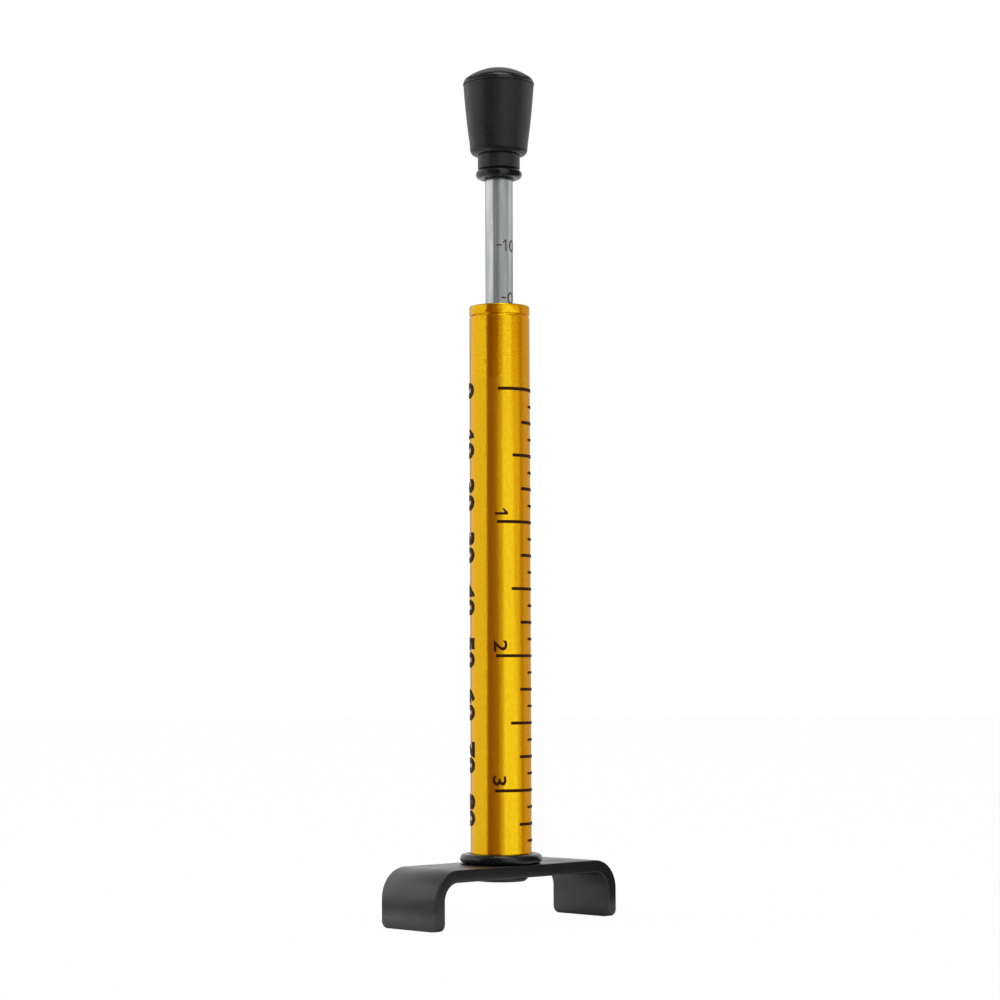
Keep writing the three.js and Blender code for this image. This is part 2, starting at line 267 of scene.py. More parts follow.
gold_cards = (
    ("gold_behind", (0.56, 0.43, 0.60), (0.56, 0.44, 0.60)),
    ("gold_left", (0.838, 0.74, 0.74), (0.83, 0.72, 0.72)),
    ("gold_brown", (0.224, 0.085, 0.017), (0.238, 0.087, 0.017)),
    ("gold_umber", (0.29, 0.132, 0.042), (0.30, 0.14, 0.045)),
    ("gold_dusk", (0.43, 0.265, 0.09), (0.43, 0.265, 0.09)),
    ("gold_edge", (0.63, 0.48, 0.26), (0.63, 0.48, 0.26)),
    ("gold_front", (0.93, 0.84, 0.95), (1, 0.98, 1)),
    ("gold_right", (0.66, 0.47, 0.20), (0.77, 0.61, 0.25)),
    ("gold_shade", (0.445, 0.264, 0.12), (0.47, 0.27, 0.10)),
    ("gold_far_right", (0.58, 0.405, 0.33), (0.59, 0.40, 0.30)),
)
for (name, upper_colour, lower_colour), first, last in zip(gold_cards, gold_edges, gold_edges[1:]):
    upper_edges = [(upper, upper) for upper, *lower in (first, last)]
    lower_edges = [(lower[-1], lower[-1], *reversed(lower)) for upper, *lower in (first, last)]
    paper_card(name + "_upper", *upper_edges, gold_upper, upper_colour, gold_pieces)
    paper_card(name + "_lower", *lower_edges, gold_lower, lower_colour, gold_pieces)

# What the black coat and the rubber show, the same greys on the table and all the way up the wall
coat_shares = ((-180, -95, 1.0), (-95, -62, 1.0), (-62, 8, 0.03), (8, 50, 1.0), (50, 132, 0.04),
               (132, 180, 1.0))
coat_back_edge = 85 * mm
coat_near_edges = (coat_back_edge, near_edge, near_edge, near_edge, near_edge, near_edge)
others_floor = 2 * on_table
for number, ((start, end, share), nearest) in enumerate(zip(coat_shares, coat_near_edges)):
    coat_outline = ((nearest, others_floor), (others_wall, others_floor), (others_wall, card_top))
    paper_card(f"coat_{number}", start, end, coat_outline, (share, share, share), coat_pieces)

# What the knob, the rod and the rest show: greys on the table and at three heights of the wall
table_shares = ((-180, -56, 0.97), (-56, 8, 0.20), (8, 120, 0.20), (120, 180, 0.90))
low_shares = ((-180, -140, 0.45), (-140, -76, 0.52), (-76, -56, 0.30), (-56, -30, 0.12), (-30, -10, 0.20),
              (-10, 8, 0.52), (8, 36, 0.88), (36, 54, 0.68), (54, 78, 0.36), (78, 130, 0.62),
              (130, 180, 0.45))
high_shares = ((-180, -140, 0.52), (-140, -53, 0.98), (-53, -36, 0.28), (-36, -22, 0.34), (-22, -6, 0.27),
               (-6, 4, 0.40), (4, 66, 0.57), (66, 86, 0.42), (86, 130, 0.82), (130, 180, 0.52))
top_shares = ((-180, -140, 0.34), (-140, -30, 0.15), (-30, 0, 0.30), (0, 40, 1.0), (40, 60, 0.40),
              (60, 140, 0.08), (140, 180, 0.34))
wall_split = 215 * mm
top_split = 640 * mm
for part, shares, outline in (
    ("table", table_shares, ((near_edge, others_floor), (others_wall, others_floor))),
    ("low_wall", low_shares, ((others_wall, others_floor), (others_wall, wall_split))),
    ("high_wall", high_shares, ((others_wall, wall_split), (others_wall, top_split))),
    ("top_wall", top_shares, ((others_wall, top_split), (others_wall, card_top))),
):
    for number, (start, end, share) in enumerate(shares):
        paper_card(f"{part}_{number}", start, end, outline, (share, share, share), other_pieces)

# Square softboxes that look at the middle of the object: angle, height, distance, size, watts, and whether
# reflections show the lamp or only the room behind it
softboxes = (
    ("left_softbox", -80, 700 * mm, 900 * mm, 600 * mm, 3.0, False),
    ("right_softbox", 40, 500 * mm, 900 * mm, 500 * mm, 1.2, False),
    ("top_softbox", 35, 940 * mm, 120 * mm, 330 * mm, 0.8, True),
)
middle = (cad_box[0] + cad_box[1]) / 2
for name, angle, height, distance, size, watts, reflected in softboxes:
    data = bpy.data.lights.new(name, "AREA")
    data.shape = "SQUARE"
    data.size = size
    data.energy = watts
    lamp = add_object(name, data)
    heading = towards_camera + math.radians(angle)
    lamp.location = (distance * math.cos(heading), distance * math.sin(heading), height)
    lamp.rotation_euler = (middle - lamp.location).to_track_quat("-Z", "Y").to_euler()
    lamp.visible_glossy = reflected


# Cradle
# A strip of steel bent to a U that straddles the belt, with round corners at its feet and a hole for the
# screw. It is powder coated black, and the coat is worn through in specks along its broken edges.
strip_thickness = 2.33 * mm
bend_outer_radius = 5.63 * mm
foot_corner = 1.4 * mm
rim_round = 0.24 * mm
hole_radius = 2.65 * mm
bend_steps = 20
corner_segments = 8
rim_segments = 3
hole_sides = 64
sharp_angle = math.radians(38)
rim_angle = math.radians(60)
weld_distance = 0.0005 * mm
coat_colour = (0.0118, 0.0124, 0.0122, 1)
worn_steel = (0.32, 0.31, 0.29, 1)
side_wear_start = 7.1 * mm
side_wear_full = 7.45 * mm
foot_wear_start = 0.6 * mm
foot_wear_full = 0.1 * mm
orange_peel_depth = 0.012 * mm


def new_group(name, inputs, outputs):
    """An empty shader node group with named sockets, and its two end nodes."""
    group = bpy.data.node_groups.new(name, "ShaderNodeTree")
    for socket, value in inputs.items():
        made = group.interface.new_socket(socket, in_out="INPUT", socket_type="NodeSocketFloat")
        made.default_value = value
    for socket in outputs:
        group.interface.new_socket(socket, in_out="OUTPUT", socket_type="NodeSocketFloat")
    return group, group.nodes.new("NodeGroupInput"), group.nodes.new("NodeGroupOutput")


# Soft-edged patches or grain, longer along the tube's axis where Stretch is below 1
patches, given, result = new_group(
    "patches", {"Scale": 1000, "Stretch": 1, "Lowest": 0.35, "Highest": 0.65}, ["Value"])
place = add_node(patches, "TexCoord").outputs["Object"]
squeeze = add_node(patches, "CombineXYZ", {"X": 1.0, "Y": 1.0, "Z": given.outputs["Stretch"]})
squeezed = add_node(patches, "VectorMath", {0: place, 1: squeeze.outputs[0]}, operation="MULTIPLY")
noise = add_node(patches, "TexNoise", {"Vector": squeezed.outputs[0], "Scale": given.outputs["Scale"],
                                       "Detail": 4.0, "Roughness": 0.55})
spread = add_node(patches, "MapRange", {"Value": noise.outputs["Fac"], "From Min": given.outputs["Lowest"],
                                        "From Max": given.outputs["Highest"]})
patches.links.new(spread.outputs["Result"], result.inputs["Value"])

# Bare specks where Nearness to an edge is high
edge_wear, given, result = new_group("edge_wear", {"Nearness": 0, "Scale": 2500, "Amount": 0.5}, ["Wear"])
place = add_node(edge_wear, "TexCoord").outputs["Object"]
specks = add_node(edge_wear, "TexNoise", {"Vector": place, "Scale": given.outputs["Scale"], "Detail": 3.0,
                                          "Roughness": 0.6})
reach = add_node(edge_wear, "Math", {0: given.outputs["Nearness"], 1: given.outputs["Amount"]},
                 operation="MULTIPLY")
lifted = add_node(edge_wear, "Math", {0: specks.outputs["Fac"], 1: reach.outputs[0]}, operation="ADD")
broken = add_node(edge_wear, "MapRange", {"Value": lifted.outputs[0], "From Min": 0.93, "From Max": 1.0})
edge_wear.links.new(broken.outputs["Result"], result.inputs["Wear"])


def pattern(tree, scale, stretch=1.0, lowest=0.35, highest=0.65):
    """The patches group placed in a material."""
    inputs = {"Scale": scale, "Stretch": stretch, "Lowest": lowest, "Highest": highest}
    return add_node(tree, "Group", inputs, node_tree=patches).outputs["Value"]


def between(tree, amount, low, high):
    """A plain value that goes from low to high as amount goes from 0 to 1."""
    return add_node(tree, "MapRange", {"Value": amount, "To Min": low, "To Max": high}).outputs["Result"]


# The places of the amount, the two colours and the result among the sockets of a Mix node
mix_inputs = (0, 6, 7)
mix_output = 2


def blended(tree, amount, first, second):
    """A colour between two colours."""
    mix = add_node(tree, "Mix", dict(zip(mix_inputs, (amount, first, second))), data_type="RGBA")
    return mix.outputs[mix_output]


def raised(tree, height, depth, normal=None):
    """A bump of the given depth in metres."""
    inputs = {"Height": height, "Distance": depth, "Strength": 1.0}
    if normal:
        inputs["Normal"] = normal
    return add_node(tree, "Bump", inputs).outputs["Normal"]


def new_finish(name, shown_colour, **plain):
    """A material with one Principled shader, and the values that are the same all over it."""
    material, tree = new_material(name)
    material.diffuse_color = shown_colour
    inputs = {socket.replace("_", " "): value for socket, value in plain.items()}
    shader = add_node(tree, "BsdfPrincipled", inputs)
    add_node(tree, "OutputMaterial", {"Surface": shader.outputs[0]})
    return material, tree, shader


def feed(tree, shader, **sockets):
    """Links varying values to the shader's sockets."""
    for name, value in sockets.items():
        tree.links.new(value, shader.inputs[name.replace("_", " ")])


powder_coat, tree, shader = new_finish("powder_coat", coat_colour, IOR=1.7)
place = add_node(tree, "SeparateXYZ", {0: add_node(tree, "TexCoord").outputs["Object"]})
across = add_node(tree, "Math", {0: place.outputs["Y"]}, operation="ABSOLUTE")
by_side = add_node(tree, "MapRange", {"Value": across.outputs[0], "From Min": side_wear_start,
                                      "From Max": side_wear_full})
by_foot = add_node(tree, "MapRange", {"Value": place.outputs["Z"], "From Min": foot_wear_start,
                                      "From Max": foot_wear_full})
nearness = add_node(tree, "Math", {0: by_side.outputs[0], 1: by_foot.outputs[0]}, operation="MAXIMUM")
wear = add_node(tree, "Group", {"Nearness": nearness.outputs[0], "Scale": 1500, "Amount": 0.22},
                node_tree=edge_wear)
orange_peel = pattern(tree, scale=1400, lowest=0.25, highest=0.75)
smears = pattern(tree, scale=160, lowest=0.3, highest=0.7)
feed(tree, shader,
     Base_Color=blended(tree, wear.outputs[0], coat_colour, worn_steel),
     Roughness=between(tree, smears, low=0.30, high=0.42),
     Normal=raised(tree, orange_peel, orange_peel_depth))


def cut_by(mesh, cutter):
    """The mesh with the cutter's solid taken out of it."""
    held = add_object("held", mesh)
    tool = add_object("tool", mesh_from(cutter, "cutter"))
    cut = held.modifiers.new("cut", "BOOLEAN")
    cut.operation = "DIFFERENCE"
    cut.solver = "EXACT"
    cut.object = tool
    bpy.context.view_layer.update()
    result = bmesh.new()
    result.from_object(held, bpy.context.evaluated_depsgraph_get())
    for item in (held, tool):
        bpy.data.objects.remove(item)
    return result


def as_mesh(bm, name):
    """A mesh from a bmesh, with its doubles merged and its faces turned outwards."""
    bmesh.ops.remove_doubles(bm, verts=bm.verts[:], dist=weld_distance)
    bmesh.ops.recalc_face_normals(bm, faces=bm.faces[:])
    return mesh_from(bm, name)


sees_cards_for = {"gold_anodised": gold_pieces, "black_coating": coat_pieces, "black_rubber": coat_pieces}


def finished(name, bm, material, body, slot):
    """A shown piece: smooth faces between sharp edges, its finish, and the body that it rides on."""
    mesh = as_mesh(bm, name)
    mesh.shade_smooth()
    mesh.set_sharp_from_angle(angle=sharp_angle)
    mesh.materials.append(material)
    piece = add_object(name, mesh)
    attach(piece, body)
    sees_cards_for.get(slot, other_pieces).objects.link(piece)
    return piece


low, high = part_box("cradle")
bend_height = high.z - bend_outer_radius
left_bend = (low.x + bend_outer_radius, 0, bend_height)
right_bend = (high.x - bend_outer_radius, 0, bend_height)
strip = bmesh.new()
foot = strip.verts.new((low.x, low.y, low.z))
shoulder = strip.verts.new((low.x, low.y, bend_height))
strip.edges.new((foot, shoulder))
bent = bmesh.ops.spin(strip, geom=[shoulder], axis=(0, 1, 0), cent=left_bend, angle=quarter_turn,
                      steps=bend_steps)["geom_last"]
middle = bmesh.ops.extrude_vert_indiv(strip, verts=bent)["verts"]
bmesh.ops.translate(strip, verts=middle, vec=(high.x - low.x - 2 * bend_outer_radius, 0, 0))
bent = bmesh.ops.spin(strip, geom=middle, axis=(0, 1, 0), cent=right_bend, angle=quarter_turn,
                      steps=bend_steps)["geom_last"]
far_foot = bmesh.ops.extrude_vert_indiv(strip, verts=bent)["verts"]
bmesh.ops.translate(strip, verts=far_foot, vec=(0, 0, low.z - bend_height))
widened = bmesh.ops.extrude_edge_only(strip, edges=strip.edges[:])["geom"]
bmesh.ops.translate(strip, verts=[v for v in widened if isinstance(v, bmesh.types.BMVert)],
                    vec=(0, high.y - low.y, 0))
bmesh.ops.remove_doubles(strip, verts=strip.verts[:], dist=weld_distance)
feet = [v for v in strip.verts if v.co.z < low.z + weld_distance]
bmesh.ops.bevel(strip, geom=feet, offset=foot_corner, offset_type="OFFSET", segments=corner_segments,
                profile=0.5, affect="VERTICES", material=-1)
bmesh.ops.recalc_face_normals(strip, faces=strip.faces[:])
strip.normal_update()
if sum(face.normal.z for face in strip.faces) < 0:
    bmesh.ops.reverse_faces(strip, faces=strip.faces[:])
bmesh.ops.solidify(strip, geom=strip.faces[:], thickness=strip_thickness)
drill = bmesh.new()
bmesh.ops.create_cone(drill, cap_ends=True, segments=hole_sides, radius1=hole_radius, radius2=hole_radius,
                      depth=high.z, matrix=Matrix.Translation((0, 0, high.z)))
strip = cut_by(as_mesh(strip, "strip"), drill)
rims = [edge for edge in strip.edges if edge.is_manifold and edge.calc_face_angle() > rim_angle]
bmesh.ops.bevel(strip, geom=rims, offset=rim_round, offset_type="OFFSET", segments=rim_segments, profile=0.5,
                affect="EDGES", material=-1)
cradle = finished("cradle_strip", strip, powder_coat, "barrel", "black_coating")
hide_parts("cradle")


# Cradle screw
# A low-headed steel screw, blacked, with a hexagon socket and a bevelled rim. It comes up through the strip
# into the plug of the tube, and its head stays just under the strip.
screw_head_height = 0.95 * mm
screw_head_bevel = 0.45 * mm
screw_shank_radius = 2.5 * mm
socket_across_corners = 3.464 * mm
socket_depth = 1.8 * mm
socket_sides = 6
tip_bevel = 0.5 * mm
broken_edge = 0.06 * mm
turn_steps = 96
corner_steps = 3


def round_corner(blank, corner, rounding, steps):
    """A corner of an outline made round."""
    bmesh.ops.bevel(blank, geom=[corner], offset=rounding, offset_type="OFFSET", segments=steps, profile=0.5,
                    affect="VERTICES", material=-1)


def spin_round(blank):
    """An outline spun once about the tube's axis."""
    bmesh.ops.spin(blank, geom=blank.verts[:] + blank.edges[:], axis=(0, 0, 1), cent=(0, 0, 0),
                   angle=2 * math.pi, steps=turn_steps, use_merge=True)


def turned(outline, closed=True):
    """A round blank from the corners of its outline, which are (radius, height, rounding)."""
    blank = bmesh.new()
    corners = [blank.verts.new((radius, 0, height)) for radius, height, rounding in outline]
    following = corners[1:] + corners[:1] if closed else corners[1:]
    for corner, other in zip(corners, following):
        blank.edges.new((corner, other))
    for corner, (radius, height, rounding) in zip(corners, outline):
        if rounding:
            round_corner(blank, corner, rounding, corner_steps)
    spin_round(blank)
    return blank


low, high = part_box("cradle_screw")
head_top = low.z + screw_head_height
blank = turned([
    (0, low.z, 0),
    (high.x - screw_head_bevel, low.z, broken_edge),
    (high.x, low.z + screw_head_bevel, broken_edge),
    (high.x, head_top, broken_edge),
    (screw_shank_radius, head_top, 0),
    (screw_shank_radius, high.z - tip_bevel, 0),
    (screw_shank_radius - tip_bevel, high.z, 0),
    (0, high.z, 0),
], closed=False)
socket_radius = socket_across_corners / 2
key = bmesh.new()
bmesh.ops.create_cone(key, cap_ends=True, segments=socket_sides, radius1=socket_radius, radius2=socket_radius,
                      depth=2 * socket_depth, matrix=Matrix.Translation((0, 0, low.z)))
screw = finished("cradle_screw_socketed", cut_by(as_mesh(blank, "blank"), key), powder_coat, "barrel",
                 "black_coating")
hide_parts("cradle_screw")


# Bottom plug
# A round of aluminium, anodised gold, pressed into the tube's lower end and tapped for the screw. Nothing of
# it shows, so it keeps the plain solid.
gold_colour = (0.98, 0.685, 0.013, 1)
gold_deep = (0.888, 0.515, 0.0045, 1)
gold_grain_depth = 0.006 * mm
gold_streak_depth = 0.004 * mm

gold_anodised, tree, shader = new_finish("gold_anodised", gold_colour, Metallic=1.0, IOR=1.45)
grain = pattern(tree, scale=2600)
streaks = pattern(tree, scale=900, stretch=0.03, lowest=0.3, highest=0.7)
cloud = pattern(tree, scale=260, stretch=0.35, lowest=0.3, highest=0.7)
feed(tree, shader,
     Base_Color=blended(tree, grain, gold_colour, gold_deep),
     Roughness=between(tree, cloud, low=0.12, high=0.17),
     Normal=raised(tree, grain, gold_grain_depth, raised(tree, streaks, gold_streak_depth)))


def refinish(node, material):
    """Gives a solid that keeps its plain shape the finish of the real piece."""
    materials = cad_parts[node].data.materials
    materials.clear()
    materials.append(material)


refinish("bottom_plug", gold_anodised)


# Body tube
# Drawn aluminium tube, anodised gold with a fine satin grain, square at both ends with the edges broken.
# It holds the plug, the spring and the cap.
tube_wall = 1.04 * mm
tube_edge = 0.25 * mm
inner_edge = 0.15 * mm
foot_band = 1.15 * mm

# A second row of corners above the foot keeps the shading of the long wall straight
low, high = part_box("body_tube")
tube_radius = high.x
bore_radius = tube_radius - tube_wall
tube = finished("body_tube_drawn", turned([
    (bore_radius, low.z, inner_edge),
    (tube_radius, low.z, tube_edge),
    (tube_radius, low.z + foot_band, 0),
    (tube_radius, high.z, tube_edge),
    (bore_radius, high.z, inner_edge),
]), gold_anodised, "barrel", "gold_anodised")
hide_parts("body_tube")


# Scale film
# A thin clear plastic film with an amber cast, wrapped round the tube and held by its own glue. It carries
# the print.
film_colour = (0.95, 0.60, 0.03, 1)
film_amber = (0.85, 0.50, 0.02, 1)
film_fit = 0.02 * mm
film_edge = 0.015 * mm
film_ripple_depth = 0.003 * mm

clear_film, tree, shader = new_finish("clear_film", film_colour, Alpha=0.025, IOR=1.49)
ripple = pattern(tree, scale=120, stretch=0.2, lowest=0.3, highest=0.7)
feed(tree, shader,
     Base_Color=blended(tree, ripple, film_colour, film_amber),
     Roughness=between(tree, ripple, low=0.16, high=0.24),
     Normal=raised(tree, ripple, film_ripple_depth))

low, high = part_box("scale_label")
film_radius = high.x
film_inside = tube_radius + film_fit
film = finished("scale_film", turned([
    (film_inside, low.z, 0),
    (film_radius, low.z, film_edge),
    (film_radius, high.z, film_edge),
    (film_inside, high.z, 0),
]), clear_film, "barrel", "clear_film")
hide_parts("scale_label")


# Printed scale
# Dark brown ink on the film. Inches run down the front, with a line at each eighth, and plain millimetre
# figures run down the left side. The print is a little askew, so its lower lines start further left.
ink_colour = (0.034, 0.011, 0.004, 1)
thin_ink_colour = (0.075, 0.028, 0.006, 1)
ink_thickness = 0.014 * mm
ink_step = 0.30 * mm
ink_weld = 0.006 * mm
zero_height = 101.18 * mm
inch = 25.4 * mm
lines_per_inch = 8
line_pitch = inch / lines_per_inch
line_count = 28
line_end = 100
# Where each eighth, fourth, second and other line starts, in degrees from the front
line_starts = {8: -3.3, 4: 26.5, 2: 46.7, 1: 70}
line_skew = 0.33
line_width = 0.56 * mm
short_line_width = 0.48 * mm
inch_figures = (1, 2, 3)
inch_figure_height = 2.45 * mm
inch_figure_width = 2.35 * mm
inch_figure_rise = 0.67 * mm
inch_figure_start = -6.6
millimetre_figure_count = 9
millimetre_figure_height = 4.7 * mm
millimetre_figure_width = 3.1 * mm
millimetre_figure_start = -107
figure_step = 10
figure_pitch = figure_step * mm
figure_boldness = 0.045
inch_figure_boldness = 0.03
font_height = 0.685
font_cell = 0.5

printing_ink, tree, shader = new_finish("printing_ink", ink_colour, IOR=1.45, Specular_IOR_Level=0.05)
thin_ink = pattern(tree, scale=5200, lowest=0.55, highest=0.8)
feed(tree, shader,
     Base_Color=blended(tree, thin_ink, ink_colour, thin_ink_colour),
     Roughness=between(tree, thin_ink, low=0.32, high=0.5))


def add_line(artwork, start, end, height, width):
    """A printed line between two lengths round the cylinder, laid flat."""
    middle = Matrix.Translation(((start + end) / 2, height, 0))
    size = Matrix.Diagonal((end - start, width, 1, 1))
    bmesh.ops.create_grid(artwork, x_segments=1, y_segments=1, size=0.5, matrix=middle @ size)


# The figure 1 is one stroke with a flag at its top. The stroke is a share of the typeface's own figure, and
# the flag's corners are shares of the stroke's width: to the left, and down from the top.
stroke_share = 0.72
flag_reach_share = 1.75
flag_tip_share = 2.3
flag_end_share = 3.4
flag_root_share = 1.8


def add_figure(artwork, digit, place, height, width, boldness=0.0):
    """A figure of the given height and cell width, laid flat at the place of its cell's lower left corner."""
    letter = bpy.data.curves.new("figure", "FONT")
    letter.body = digit
    letter.offset = boldness / 2
    held = add_object("figure", letter)
    bpy.context.view_layer.update()
    mesh = bpy.data.meshes.new_from_object(held.evaluated_get(bpy.context.evaluated_depsgraph_get()))
    bpy.data.objects.remove(held)
    if digit == "1":
        near, far = (end(v.co.x for v in mesh.vertices) for end in (min, max))
        foot, top = (end(v.co.y for v in mesh.vertices) for end in (min, max))
        stroke = stroke_share * (far - near)
        left, right = far - stroke / 2, far + stroke / 2
        tip = left - flag_reach_share * stroke
        outline = [(left, foot), (right, foot), (right, top), (left, top),
                   (tip, top - flag_tip_share * stroke), (tip, top - flag_end_share * stroke),
                   (left, top - flag_root_share * stroke)]
        flagged = bmesh.new()
        flagged.faces.new([flagged.verts.new((x, y, 0)) for x, y in outline])
        flagged.normal_update()
        bmesh.ops.triangulate(flagged, faces=flagged.faces[:])
        flagged.to_mesh(mesh)
        flagged.free()
    mesh.transform(place @ Matrix.Diagonal((width / font_cell, height / font_height, 1, 1)))
    artwork.from_mesh(mesh)


def printed(name, artwork, radius, material, body, slot):
    """Artwork cut into strips, given the thickness of its ink and wrapped round a cylinder."""
    reach = [v.co.x for v in artwork.verts]
    cut = math.ceil(min(reach) / ink_step) * ink_step
    while cut < max(reach):
        bmesh.ops.bisect_plane(artwork, geom=artwork.verts[:] + artwork.edges[:] + artwork.faces[:],
                               plane_co=(cut, 0, 0), plane_no=(1, 0, 0))
        cut += ink_step
    bmesh.ops.remove_doubles(artwork, verts=artwork.verts[:], dist=ink_weld)
    bmesh.ops.recalc_face_normals(artwork, faces=artwork.faces[:])
    for face in artwork.faces:
        if face.normal.z < 0:
            face.normal_flip()
    bmesh.ops.solidify(artwork, geom=artwork.faces[:], thickness=-ink_thickness)
    for v in artwork.verts:
        angle = towards_camera + v.co.x / radius
        outward = radius + abs(v.co.z)
        v.co = (outward * math.cos(angle), outward * math.sin(angle), v.co.y)
    return finished(name, artwork, material, body, slot)


arc_per_degree = film_radius * math.radians(1)
sideways = Matrix.Rotation(-quarter_turn, 4, "Z")
artwork = bmesh.new()
for line in range(line_count):
    kind = next(step for step in line_starts if line % step == 0)
    start = line_starts[kind] - line_skew * line
    width = short_line_width if kind == 1 else line_width
    height = zero_height - line * line_pitch
    add_line(artwork, start * arc_per_degree, line_end * arc_per_degree, height, width)
for count in inch_figures:
    start = inch_figure_start - line_skew * count * lines_per_inch
    above = zero_height - count * inch + inch_figure_rise + inch_figure_width
    place = Matrix.Translation((start * arc_per_degree, above, 0)) @ sideways
    add_figure(artwork, str(count), place, inch_figure_height, inch_figure_width, inch_figure_boldness)
printed("inch_scale", artwork, film_radius, printing_ink, "barrel", "clear_film")

artwork = bmesh.new()
for count in range(millimetre_figure_count):
    text = str(count * figure_step)
    above = zero_height - count * figure_pitch + millimetre_figure_width * len(text) / 2
    for place_number, digit in enumerate(text):
        down = above - millimetre_figure_width * place_number
        place = Matrix.Translation((millimetre_figure_start * arc_per_degree, down, 0)) @ sideways
        add_figure(artwork, digit, place, millimetre_figure_height, millimetre_figure_width, figure_boldness)
printed("millimetre_figures", artwork, film_radius, printing_ink, "barrel", "clear_film")


# Spring seat, washer and clip
# A steel washer on the plug, another under the plunger's clip, and the clip itself, pushed into the rod's
# groove. They lie inside the tube and keep their plain solids.
spring_steel_colour = (0.50, 0.50, 0.49, 1)
oiled_steel_colour = (0.36, 0.34, 0.31, 1)
mill_mark_depth = 0.006 * mm

spring_steel, tree, shader = new_finish("spring_steel", spring_steel_colour, Metallic=1.0)
oil = pattern(tree, scale=300, lowest=0.3, highest=0.7)
mill_marks = pattern(tree, scale=2600, stretch=0.4, lowest=0.3, highest=0.7)
feed(tree, shader,
     Base_Color=blended(tree, oil, spring_steel_colour, oiled_steel_colour),
     Roughness=between(tree, oil, low=0.26, high=0.42),
     Normal=raised(tree, mill_marks, mill_mark_depth))
for name in ("spring_seat", "spring_washer", "retaining_clip"):
    refinish(name, spring_steel)


# Force spring
# Round spring wire wound right-handed inside the tube, with one close turn at each end. It stands on the
# seat, and the plunger shortens it.
wire_radius = 0.65 * mm
coil_radius = 3.75 * mm
coil_turns = 17.3
close_turns = 1
close_rise = 1.8 * mm
wire_sides = 14
steps_per_turn = 36


def cord_section(bm, distance, height, cord_radius, sides):
    """A round section of wire or cord, upright at its distance from the tube's axis."""
    middle = Matrix.Translation((distance, 0, height))
    bmesh.ops.create_circle(bm, segments=sides, radius=cord_radius,
                            matrix=middle @ Matrix.Rotation(quarter_turn, 4, "X"))


low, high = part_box("force_spring")
coil_height = high.z - low.z
open_turns = coil_turns - 2 * close_turns
open_rise = (coil_height - 2 * wire_radius - 2 * close_rise) / open_turns
wire = bmesh.new()
cord_section(wire, coil_radius, low.z + wire_radius, wire_radius, wire_sides)
first_end = wire.edges[:]
bmesh.ops.edgeloop_fill(wire, edges=first_end)
wire_end = wire.verts[:] + first_end
for turns, rise in ((close_turns, close_rise), (open_turns, open_rise), (close_turns, close_rise)):
    steps = round(turns * steps_per_turn)
    climb = (0, 0, rise * turns / steps)
    wire_end = bmesh.ops.spin(wire, geom=wire_end, axis=(0, 0, 1), cent=(0, 0, 0), dvec=climb,
                              angle=2 * math.pi * turns, steps=steps)["geom_last"]
bmesh.ops.edgeloop_fill(wire, edges=[e for e in wire_end if isinstance(e, bmesh.types.BMEdge)])
spring = finished("force_spring_wound", wire, spring_steel, "barrel", "bright_steel")
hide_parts("force_spring")
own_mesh(spring)


# Guide bush
# A white acetal sleeve, turned and pressed into the cap, in which the rod slides. Its rim shows round the
# rod from above.
bush_wall = 0.8 * mm
bush_edge = 0.12 * mm
acetal_colour = (0.78, 0.76, 0.70, 1)
aged_acetal_colour = (0.70, 0.67, 0.58, 1)
tooling_depth = 0.004 * mm

acetal, tree, shader = new_finish("acetal", acetal_colour, IOR=1.48)
tooling = pattern(tree, scale=3000, stretch=0.5, lowest=0.3, highest=0.7)
ageing = pattern(tree, scale=400)
feed(tree, shader,
     Base_Color=blended(tree, ageing, acetal_colour, aged_acetal_colour),
     Roughness=between(tree, tooling, low=0.38, high=0.5),
     Normal=raised(tree, tooling, tooling_depth))

low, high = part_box("guide_bush")
bush_radius = high.x
bush = finished("guide_bush_turned", turned([
    (bush_radius - bush_wall, low.z, bush_edge),
    (bush_radius, low.z, bush_edge),
    (bush_radius, high.z, bush_edge),
    (bush_radius - bush_wall, high.z, bush_edge),
]), acetal, "barrel", "acetal")
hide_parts("guide_bush")


# Top cap
# Turned from aluminium and anodised gold. A long spigot is pressed into the tube, and the flange closes its
# end with rounded edges, which leaves a dark line where it meets the tube.
cap_round = 0.3 * mm
groove_inside = 0.8 * mm
groove_opening = 0.25 * mm
groove_round = 0.15 * mm
cap_flange_height = 2.1 * mm
spigot_fit = 0.02 * mm
bush_fit = 0.02 * mm

low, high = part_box("top_cap")
spigot_radius = bore_radius - spigot_fit
flange_bottom = high.z - cap_flange_height
cap_bore = bush_radius + bush_fit
cap = finished("top_cap_turned", turned([
    (cap_bore, low.z, 0),
    (spigot_radius, low.z, inner_edge),
    (spigot_radius, flange_bottom, 0),
    (high.x - groove_inside, flange_bottom, 0),
    (high.x - groove_inside, flange_bottom + groove_opening, 0),
    (high.x, flange_bottom + groove_opening, groove_round),
    (high.x, high.z, cap_round),
    (cap_bore, high.z, broken_edge),
]), gold_anodised, "barrel", "gold_anodised")
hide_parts("top_cap")


# Plunger rod
# Bright drawn steel rod with a groove for the clip, and above it a stud that screws into the knob's insert.
# Its surface is clouded and streaked from drawing.
rod_edge = 0.5 * mm
groove_depth = 0.65 * mm
stud_radius = 1.95 * mm
stud_length = 8 * mm
clip_fit = 0.02 * mm
steel_colour = (0.675, 0.685, 0.67, 1)
stained_steel_colour = (0.36, 0.385, 0.40, 1)
draw_line_depth = 0.003 * mm
spot_depth = 0.003 * mm

